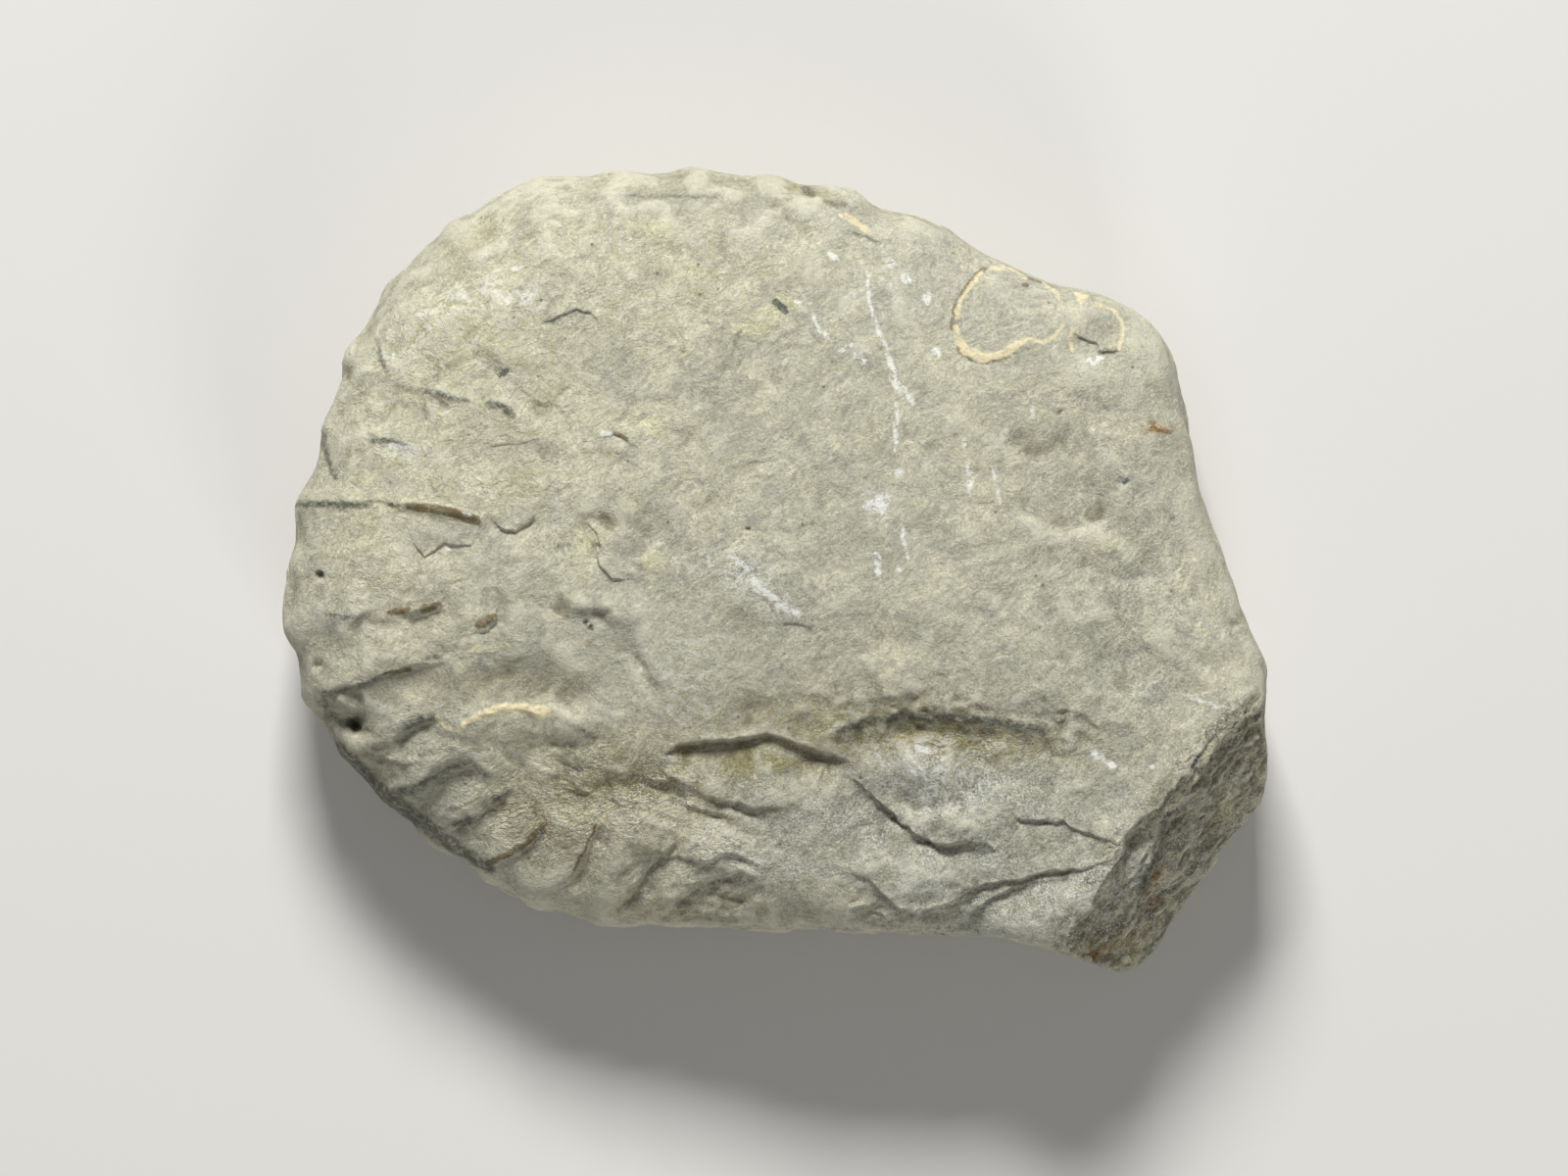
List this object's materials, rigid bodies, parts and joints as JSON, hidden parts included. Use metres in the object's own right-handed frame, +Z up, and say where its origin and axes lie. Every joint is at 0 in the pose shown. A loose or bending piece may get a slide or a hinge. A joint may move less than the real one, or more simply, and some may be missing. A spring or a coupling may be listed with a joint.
{
  "type": "ammonite fossil in limestone",
  "caption": "Flat-lying ammonite in its rough limestone: a ribbed, worn outer edge, layered ledges across the lower flank and one flat broken corner.",
  "frame": {"origin": "middle of the stone's box in plan, on the surface that it lies on", "axes": "+X along the stone's length, +Y towards the rounded outer edge of the coil, +Z up, out of the ribbed flank"},
  "size_m": [0.2082, 0.1708, 0.0545],
  "materials": {
    "limestone": "matt, chalky and unpolished"
  },
  "bodies": {
    "root": {"ammonite_stone": "limestone"}
  },
  "joints": []
}
